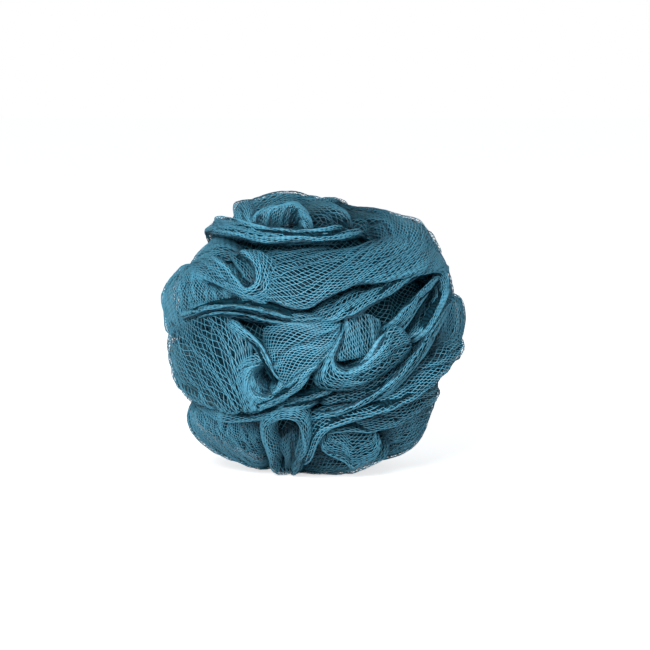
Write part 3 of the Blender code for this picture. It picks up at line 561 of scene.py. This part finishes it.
def fold_surface(fold, along, across, sunk, overhang=0):
    """A fold's grid of points, that far under its outer layer, and the outward directions there."""
    points = fold_points(fold, along, across, overhang)
    normals = unit(np.cross(np.gradient(points, axis=1), np.gradient(points, axis=0)) + 1e-12)
    normals = normals * np.sign((normals * points).sum(axis=2).mean())
    return points - normals * sunk, normals


def lip_share_of(fold, points):
    """How far across a fold's grid its lip lies, as a share of the way over the surface."""
    run = np.concatenate([[0], np.cumsum(np.linalg.norm(np.diff(points, axis=1), axis=2).mean(axis=0))])
    reach = fold_width(fold)
    ways = section(reach, *fold[1:], points.shape[1])[:, 0]
    return run[int(np.argmax(ways >= min(reach - LIP_ROLL / 2, ways.max())))] / run[-1]


def gathered(share, lip_at, gather):
    """Shares of the way across a fold, drawn closer towards its lip from both sides."""
    inside = np.maximum(0, 1 - share / lip_at) ** gather
    outside = np.maximum(0, share - lip_at) / (1 - lip_at)
    return np.where(share < lip_at, lip_at * (1 - inside), lip_at + (1 - lip_at) * outside ** gather)


def uneven(flat, lean, fold_own, layer_own):
    """The flat knit with its strands bunched and wandering, and how far each crossing stands out."""
    turn = math.radians(lean)
    across_strands = np.array((math.cos(turn), math.sin(turn), 0))
    along_strands = np.array((-math.sin(turn), math.cos(turn), 0))
    places = list(zip(flat @ across_strands, flat @ along_strands))
    bunch = np.array([noise.noise(Vector((x / BUNCH_WIDTH, y / BUNCH_LENGTH, layer_own))) for x, y in places])
    shake = np.array([
        noise.noise_vector(Vector((x / CELL_SHAKE, y / CELL_SHAKE, layer_own)))[:] for x, y in places
    ])
    crease = np.array([
        noise.noise(Vector((x / CREASE_WIDTH, y / CREASE_LENGTH, fold_own + 5))) for x, y in places
    ])
    crease = np.maximum(0, 1 - CREASE_SHARPNESS * np.abs(crease)) ** 2
    flat = flat + np.outer(BUNCHING * bunch, across_strands) + WANDER * shake * (1, 1, 0)
    return flat, RIPPLE * (shake[:, 2] * 0.5 + bunch) - CREASE_DEPTH * crease


def laid_on(points, normals, share_x, share_y, relief):
    """Where the knit's crossings come to lie on a fold's grid, at those shares of the way over it."""
    along, across = points.shape[:2]
    way_x = share_x * (across - 1)
    way_y = share_y * (along - 1)
    col = np.minimum(way_x.astype(int), across - 2)
    row = np.minimum(way_y.astype(int), along - 2)
    part_x = (way_x - col)[:, None]
    part_y = (way_y - row)[:, None]
    near = points[row, col] * (1 - part_x) + points[row, col + 1] * part_x
    far = points[row + 1, col] * (1 - part_x) + points[row + 1, col + 1] * part_x
    spots = near * (1 - part_y) + far * part_y + normals[row, col] * relief[:, None]
    spots += np.array(BALL_CENTRE)
    spots[:, 2] = np.maximum(spots[:, 2], LEAST_HEIGHT + FLOOR_RISE * spots[:, 2])
    return spots


def open_cells(net, lip):
    """Each face of the knit opened to a hole with strands round it, thicker ones along the lip."""
    holes = net.faces[:]
    middles = [face.calc_center_median() for face in holes]
    reaches = [max((vert.co - middle).length for vert in face.verts) for face, middle in zip(holes, middles)]
    shares = [sum(vert[lip] for vert in face.verts) / len(face.verts) for face in holes]
    at_lip = [face for face, share in zip(holes, shares) if share > 0.5]
    slack = [face for face, share in zip(holes, shares) if share <= 0.5]
    for faces, strand in ((at_lip, LIP_STRAND), (slack, STRAND)):
        bmesh.ops.inset_individual(
            net, faces=faces, thickness=strand / 2, depth=-STRAND_DEPTH, use_even_offset=True,
        )
    for face, middle, reach in zip(holes, middles, reaches):
        for vert in face.verts:
            if (vert.co - middle).length > reach:
                vert.co = middle
    bmesh.ops.delete(net, geom=holes, context="FACES_ONLY")


def net_on(bm, fold, knit, sunk, overhang=0, gather=LIP_GATHER):
    """Knitted strands over a fold, that far under its outer layer and gathered at its lip."""
    points, normals = fold_surface(fold, *NET_GRID, sunk, overhang)
    wide = float(np.linalg.norm(np.diff(points, axis=1), axis=2).sum(axis=1).mean())
    long = float(np.linalg.norm(np.diff(points, axis=0), axis=2).sum(axis=0).max())
    cell_long, cell_wide, lean, bend = knit
    net = bmesh.new()
    flat_knit(net, wide, long, cell_long * MM, cell_wide * MM, lean, bend)
    flat = np.array([vert.co[:] for vert in net.verts])
    fold_own = FOLD_STEP * float(points[0, 0, 0] + points[-1, -1, 2]) / MM
    flat, relief = uneven(flat, lean, fold_own, fold_own + LAYER_STEP * sunk)
    lip_at = lip_share_of(fold, points)
    share_x = gathered(np.clip(flat[:, 0] / wide, 0, 1), lip_at, gather)
    share_y = np.clip(flat[:, 1] / long, 0, 1)
    near_lip = np.clip(1.5 - np.abs(share_x - lip_at) * wide / LIP_BAND, 0, 1)
    # The lip share thickens the strands at the lip, and the netting finish reads it for a painted highlight.
    lip = net.verts.layers.float.new("lip")
    for vert, spot, share in zip(net.verts, laid_on(points, normals, share_x, share_y, relief), near_lip):
        vert.co = spot
        vert[lip] = share
    net.normal_update()
    open_cells(net, lip)
    laid = bpy.data.meshes.new("laid")
    net.to_mesh(laid)
    net.free()
    bm.from_mesh(laid)
    bpy.data.meshes.remove(laid)


def netting_finish(name, painted_shade_colour, bright):
    """Dyed polyethylene strand with a soft gloss, painted shade deep between the folds and a painted
    highlight on the lips.
    """
    finish, shader, start = new_finish(name)
    place = start.node("ShaderNodeTexCoord", {}, {}, "Object")
    offset = start.node("ShaderNodeVectorMath", {"operation": "SUBTRACT"}, {0: place, 1: BALL_CENTRE})
    depth = start.node("ShaderNodeVectorMath", {"operation": "LENGTH"}, {0: offset}, "Value")
    # Painted shade: 0 deep between the folds, where the strands take the dark colour, and 1 at the ball's
    # radius.
    painted_depth_shading = start.node("ShaderNodeMapRange", {"interpolation_type": "SMOOTHSTEP"}, {
        "Value": depth, "From Min": PAINTED_SHADE_RADIUS, "From Max": BALL_RADIUS,
    })
    cloud = start.node("ShaderNodeTexNoise", {}, {"Vector": place, "Scale": 70, "Detail": 3})
    # The lip share lightens the strands a little along the lips: a painted highlight.
    lip = start.node("ShaderNodeAttribute", {"attribute_name": "lip"}, {}, "Fac")
    fibre = start.node("ShaderNodeTexNoise", {}, {"Vector": place, "Scale": 1800, "Detail": 2})
    colour = start.mix(painted_depth_shading * (0.5 + cloud * 0.6 + lip * 0.05) + fibre * 0.2 - 0.1, painted_shade_colour, bright)
    colour.feed(shader, "Base Color")
    (0.36 + fibre * 0.22).feed(shader, "Roughness")
    relief = start.node("ShaderNodeBump", {}, {"Height": fibre, "Strength": 0.35, "Distance": 0.05 * MM})
    relief.feed(shader, "Normal")
    shader.inputs["Specular IOR Level"].default_value = 0.35
    return finish


# Between the folds the strands are darkened by painted shade, from the ball's radius down to this one.
PAINTED_SHADE_RADIUS = 49 * MM
outer_finish = netting_finish("outer_netting", (0.003, 0.03, 0.05), (0.122, 0.437, 0.615))
# The layer under the outer one is a darker copy of the same netting: painted shade.
shaded_under_finish = netting_finish("under_netting_painted_shade", (0.001, 0.012, 0.022), (0.012, 0.072, 0.115))

# Which folds lie in the upper half of the face, and which ones end at the ball's outline, where the layers
# under them don't stand past their lips.
UPPER_FOLDS = (
    "crown", "crown_corner", "crown_arch", "upper_band", "left_step", "great_sheet", "right_corner", "notch",
    "notch_flap", "shoulder_strap", "left_lobe", "left_cheek", "band_top", "pocket_lining", "lower_strap",
    "long_band", "right_loop", "outer_strap", "right_crescent", "right_ear",
)
LOWER_FOLDS = tuple(name for name in FACE_FOLDS if name not in UPPER_FOLDS)
LIMB_FOLDS = (
    "crown", "crown_corner", "right_corner", "right_crescent", "right_ear", "left_cheek", "left_step",
    "lap_lobe", "lower_left_lobe", "flank_upper", "flank_lower", "base_lobe", "centre_loop",
)

# Each layer of netting: its folds, its finish, the length in metres of the tube that it takes, how far under
# the outer one it lies, how much wider its cells are, and how far its lips stand past those above.
UNDER_DEPTH = 0.9 * MM
UNDER_GROWTH = 1.25
UNDER_PAST = 1.5 * MM
LAYERS = (
    ("upper_face_outer", UPPER_FOLDS, outer_finish, 0.46, 0, 1, 0),
    ("lower_face_outer", LOWER_FOLDS, outer_finish, 0.4, 0, 1, 0),
    ("upper_face_under", UPPER_FOLDS, shaded_under_finish, 0.37, UNDER_DEPTH, UNDER_GROWTH, UNDER_PAST),
    ("lower_face_under", LOWER_FOLDS, shaded_under_finish, 0.31, UNDER_DEPTH, UNDER_GROWTH, UNDER_PAST),
)

# The share of a slack layer's area that its strands cover, and how much the gathering turns them further.
STRAND_SHARE = 0.42
GATHERED_LEAN = 1.25
for layer, names, finish, length, sunk, growth, past in LAYERS:
    bm = bmesh.new()
    for name in names:
        cell_long, cell_wide, lean, bend = KNIT_ON_FOLD.get(name, OPEN_CELL)
        knit = (cell_long * growth, cell_wide * growth, lean * GATHERED_LEAN, bend)
        over, gather = (0, 1) if name in LIMB_FOLDS else (past, LIP_GATHER)
        net_on(bm, face_fold(name), knit, sunk, over, gather)
    add_piece(layer, bm, finish, length, STRAND_SHARE)

# The packed layers
# The same netting, layer on layer, pressed so close behind each fold of the face that no light comes through.
# Its near-black colour is painted shade.
# They end before the lips, and well before those of the folds that only a few layers stand behind.
PACKED_DEPTH = 2.6 * MM
PACKED_GRID = (24, 14)
PACKED_TRIM = 3
THIN_TRIM = 7
THIN_FOLDS = ("left_cheek", "lower_left_lobe", "crown_corner", "right_ear")
LEAST_PACKED_HEIGHT = 1.2 * MM


def packed_sheet(bm, fold, shape, sunk, trim):
    """The pressed layers under a fold as one closed sheet that ends that many columns before it."""
    points = fold_surface(fold, *shape, sunk)[0] + np.array(BALL_CENTRE)
    points = points[:, shape[1] // 4:shape[1] - trim]
    rows, columns = points.shape[:2]
    grid = bmesh.ops.create_grid(bm, x_segments=columns - 1, y_segments=rows - 1, size=0.5)["verts"]
    grid.sort(key=lambda vert: (vert.co.y, vert.co.x))
    for vert, spot in zip(grid, points.reshape(-1, 3)):
        vert.co = (spot[0], spot[1], max(spot[2], LEAST_PACKED_HEIGHT))


bm = bmesh.new()
for name in FACE_FOLDS:
    trim = THIN_TRIM if name in THIN_FOLDS else PACKED_TRIM
    packed_sheet(bm, face_fold(name), PACKED_GRID, PACKED_DEPTH, trim)
add_piece("packed_face_layers", bm, packed_shade_finish, length=0.2)

# The sheer layers
# The second and third layer under each fold, too fine to tell apart. Seen straight on they are clear, and
# they close where the eye runs along them, so that only a little light comes through at the ball's outline.
SHEER_DEPTH = 1.0 * MM
SHEER_GRID = (20, 12)
SHEER_TRIM = 1
sheer_finish, shader, start = new_finish("sheer_layers")
place = start.node("ShaderNodeTexCoord", {}, {}, "Object")
cloud = start.node("ShaderNodeTexNoise", {}, {"Vector": place, "Scale": 120, "Detail": 3})
colour = start.mix(cloud, (0.04, 0.12, 0.15), (0.11, 0.24, 0.28))
colour.feed(shader, "Base Color")
turned = start.node("ShaderNodeLayerWeight", {}, {"Blend": 0.5}, "Facing")
closed = start.node("ShaderNodeMapRange", {"interpolation_type": "SMOOTHSTEP"}, {
    "Value": turned, "From Min": 0.32, "From Max": 0.8, "To Max": 0.8,
})
(closed * (0.8 + cloud * 0.4)).feed(shader, "Alpha")
shader.inputs["Roughness"].default_value = 0.8
shader.inputs["Specular IOR Level"].default_value = 0.1
bm = bmesh.new()
for name in FACE_FOLDS:
    packed_sheet(bm, face_fold(name), SHEER_GRID, SHEER_DEPTH, SHEER_TRIM)
add_piece("sheer_face_layers", bm, sheer_finish, length=0.265)

# The netting of the sides and the back
# The rest of the same tube, in folds of the same form, spread evenly as the tie throws them out. Every other
# fold is in the first set and the rest in the second, over packed and sheer layers like those of the face.
SPREAD_FOLDS = 62
SPREAD_LENGTH = 54 * MM
SPREAD_WIDTH = 25 * MM
SPREAD_SINK = 9 * MM
SPREAD_TUCK = 6 * MM
SPREAD_DIP = 9 * MM
SPREAD_STATIONS = 5
SPREAD_KNIT = (4.2, 1.4, 8, 0)
SPREAD_GRID = (14, 12)
SPREAD_TRIM = 2

# How unlike each other they are: share of the length, sideways bow as a share of the ball's radius, taper of
# the width towards the ends, height, and the wandering direction that they run in. From one fold to the next
# the waves of length, bow and height go on by the last three.
LENGTH_SHARE = 0.22
BOW = 0.16
TAPER = 0.8
HEIGHT_WANDER = 1.1 * MM
SWIRL_GRAIN = 1.4
SWIRL_PLACE = Vector((3, 1, 7))
SWIRL_LEAN = (0.15, 0.3, 0.2)
LENGTH_STEP = 2.3
BOW_STEP = 1.7
HEIGHT_STEP = 3.1

# The spread folds end where the face begins, lie lower beside it, and stand level on the underside, which
# the flat spot is cut from. Each limit is the cosine of the angle from the face's middle or from straight up.
FACE_EDGE = 0.12
FACE_SIDE = -0.45
SIDE_SET_BACK = 5 * MM
BACK_SET_BACK = 1.2 * MM
UNDERSIDE = -0.9
UNDERSIDE_SET_BACK = 1 * MM


def spread_folds():
    """Folds in the same form over the rest of the ball, on a spiral of even spacing."""
    golden_turn = math.pi * (3 - math.sqrt(5))
    face = np.array(face_direction(0, 1e-6, 0))
    for index in range(SPREAD_FOLDS):
        up = 1 - (2 * index + 1) / SPREAD_FOLDS
        flat = math.sqrt(1 - up * up)
        middle = np.array((flat * math.cos(index * golden_turn), flat * math.sin(index * golden_turn), up))
        facing = float(middle @ face)
        if facing > FACE_EDGE:
            continue
        swirl = np.array(noise.noise_vector(Vector(middle * SWIRL_GRAIN) + SWIRL_PLACE)) + SWIRL_LEAN
        along = unit(np.cross(middle, swirl))
        side = np.cross(middle, along)
        length = SPREAD_LENGTH * (1 + LENGTH_SHARE * math.sin(LENGTH_STEP * index))
        bow = BOW * math.sin(BOW_STEP * index + 1)
        set_back = SIDE_SET_BACK if facing > FACE_SIDE else BACK_SET_BACK
        height = HEIGHT_WANDER * math.sin(HEIGHT_STEP * index) - set_back
        if up < UNDERSIDE:
            height = -UNDERSIDE_SET_BACK
        stations = []
        for place in np.linspace(-0.5, 0.5, SPREAD_STATIONS):
            lip = middle + along * place * length / BALL_RADIUS + side * bow * (1 - 4 * place * place)
            width = SPREAD_WIDTH / BALL_RADIUS * (1 - TAPER * place * place)
            stations.append((*unit(lip), *unit(lip + side * width), height))
        yield stations, SPREAD_SINK, -SPREAD_TUCK, SPREAD_DIP


folds = list(spread_folds())
for name, share in (("first_spread_folds", folds[::2]), ("second_spread_folds", folds[1::2])):
    bm = bmesh.new()
    for fold in share:
        net_on(bm, fold, SPREAD_KNIT, 0)
    add_piece(name, bm, outer_finish, length=0.29, share=STRAND_SHARE)
# The packed spread layers are near black like those of the face: painted shade.
SPREAD_LAYERS = (
    ("packed_spread_layers", packed_shade_finish, PACKED_DEPTH, SPREAD_TRIM, 0.17),
    ("sheer_spread_layers", sheer_finish, SHEER_DEPTH, SHEER_TRIM, 0.255),
)
for name, finish, sunk, trim, length in SPREAD_LAYERS:
    bm = bmesh.new()
    for fold in folds:
        packed_sheet(bm, fold, SPREAD_GRID, sunk, trim)
    add_piece(name, bm, finish, length)

# The inner netting
# Lengths of the tube that stay deep between the folds, seen through them and at the bottom of the pockets.
# They lie round the gathered middle as one slack layer, open at two ends that the folds hide.
INNER_RADIUS = 50.5 * MM
INNER_CELLS = (110, 56)
INNER_END = 0.995
INNER_TILT = math.radians(70)
INNER_SWELL = 3 * MM
INNER_SWELLS = 6
INNER_SHAKE = 1.2 * MM
INNER_SHAKES = 9
# The inner strands are one even teal, darker than the outer ones: painted shade deep in the ball.
inner_shade_finish = netting_finish("inner_netting", (0.03, 0.15, 0.21), (0.03, 0.15, 0.21))
bm = bmesh.new()
bmesh.ops.create_uvsphere(bm, u_segments=INNER_CELLS[0], v_segments=INNER_CELLS[1], radius=1)
bmesh.ops.delete(bm, geom=[vert for vert in bm.verts if abs(vert.co.z) > INNER_END], context="VERTS")
inner = [edge for edge in bm.edges if not edge.is_boundary]
bmesh.ops.poke(bm, faces=bm.faces[:])
bmesh.ops.dissolve_edges(bm, edges=inner, use_verts=False)
bmesh.ops.rotate(bm, verts=bm.verts, cent=(0, 0, 0), matrix=Matrix.Rotation(INNER_TILT, 3, "Y"))
for vert in bm.verts:
    way = vert.co.normalized()
    radius = INNER_RADIUS + INNER_SWELL * noise.noise(way * INNER_SWELLS)
    vert.co = BALL_CENTRE + way * radius + INNER_SHAKE * noise.noise_vector(way * INNER_SHAKES)
bm.normal_update()
holes = bm.faces[:]
bmesh.ops.inset_individual(bm, faces=holes, thickness=STRAND / 2, depth=-STRAND_DEPTH, use_even_offset=True)
bmesh.ops.delete(bm, geom=holes, context="FACES_ONLY")
add_piece("inner_netting", bm, inner_shade_finish, length=0.25, share=STRAND_SHARE)

# The studio
# A white floor that keeps the pouf's soft shadow, a white surround, a soft lamp from the upper left and a
# larger, weaker one from the right. The camera stands far off, so the ball shows almost no perspective.
FLOOR_HALF = 3
floor_finish, shader, start = new_finish("white_floor")
shader.inputs["Base Color"].default_value = (0.9, 0.9, 0.9, 1)
shader.inputs["Roughness"].default_value = 0.9
seen = start.node("ShaderNodeLightPath", {}, {}, "Is Camera Ray")
glow = start.mix(seen, (0, 0, 0), (0.7, 0.7, 0.7))
glow.feed(shader, "Emission Color")
shader.inputs["Emission Strength"].default_value = 1
bm = bmesh.new()
bmesh.ops.create_grid(bm, x_segments=1, y_segments=1, size=FLOOR_HALF)
mesh = bpy.data.meshes.new("floor")
bm.to_mesh(mesh)
bm.free()
mesh.materials.append(floor_finish)
floor = bpy.data.objects.new("floor", mesh)
bpy.context.scene.collection.objects.link(floor)

world = bpy.data.worlds.new("studio")
world.use_nodes = True
bpy.context.scene.world = world
start = Shade(world.node_tree)
looked_at = start.node("ShaderNodeLightPath", {}, {}, "Is Camera Ray")
backdrop = start.mix(looked_at, (0.31, 0.33, 0.35), (1, 1, 1))
backdrop.feed(world.node_tree.nodes["Background"], "Color")


def soft_lamp(name, offset, size, power):
    """A round lamp of that width and power, placed from the ball's centre and facing it."""
    data = bpy.data.lights.new(name, "AREA")
    data.shape = "DISK"
    data.size = size
    data.energy = power
    lamp = bpy.data.objects.new(name, data)
    lamp.location = BALL_CENTRE + Vector(offset)
    lamp.rotation_euler = (-Vector(offset)).to_track_quat("-Z", "Y").to_euler()
    bpy.context.scene.collection.objects.link(lamp)


soft_lamp("key", (-0.25, -0.95, 0.5), 0.45, 10.5)
soft_lamp("fill", (0.8, -0.7, 0.3), 0.9, 2)

# The photograph is square, and the ball's middle lies a little to the left and below its own.
CAMERA_DISTANCE = 1.5
CAMERA_LENS = 207
PHOTO_SIDE = 650
BALL_MIDDLE = (313.5, 333.5)
camera_data = bpy.data.cameras.new("camera")
camera_data.lens = CAMERA_LENS
camera_data.shift_x = (PHOTO_SIDE / 2 - BALL_MIDDLE[0]) / PHOTO_SIDE
camera_data.shift_y = (BALL_MIDDLE[1] - PHOTO_SIDE / 2) / PHOTO_SIDE
camera = bpy.data.objects.new("camera", camera_data)
back = Vector((0, -math.cos(FACE_TILT), math.sin(FACE_TILT)))
camera.location = BALL_CENTRE + back * CAMERA_DISTANCE
camera.rotation_euler = back.to_track_quat("Z", "Y").to_euler()
bpy.context.scene.collection.objects.link(camera)
bpy.context.scene.camera = camera
bpy.context.scene.view_settings.view_transform = "Standard"
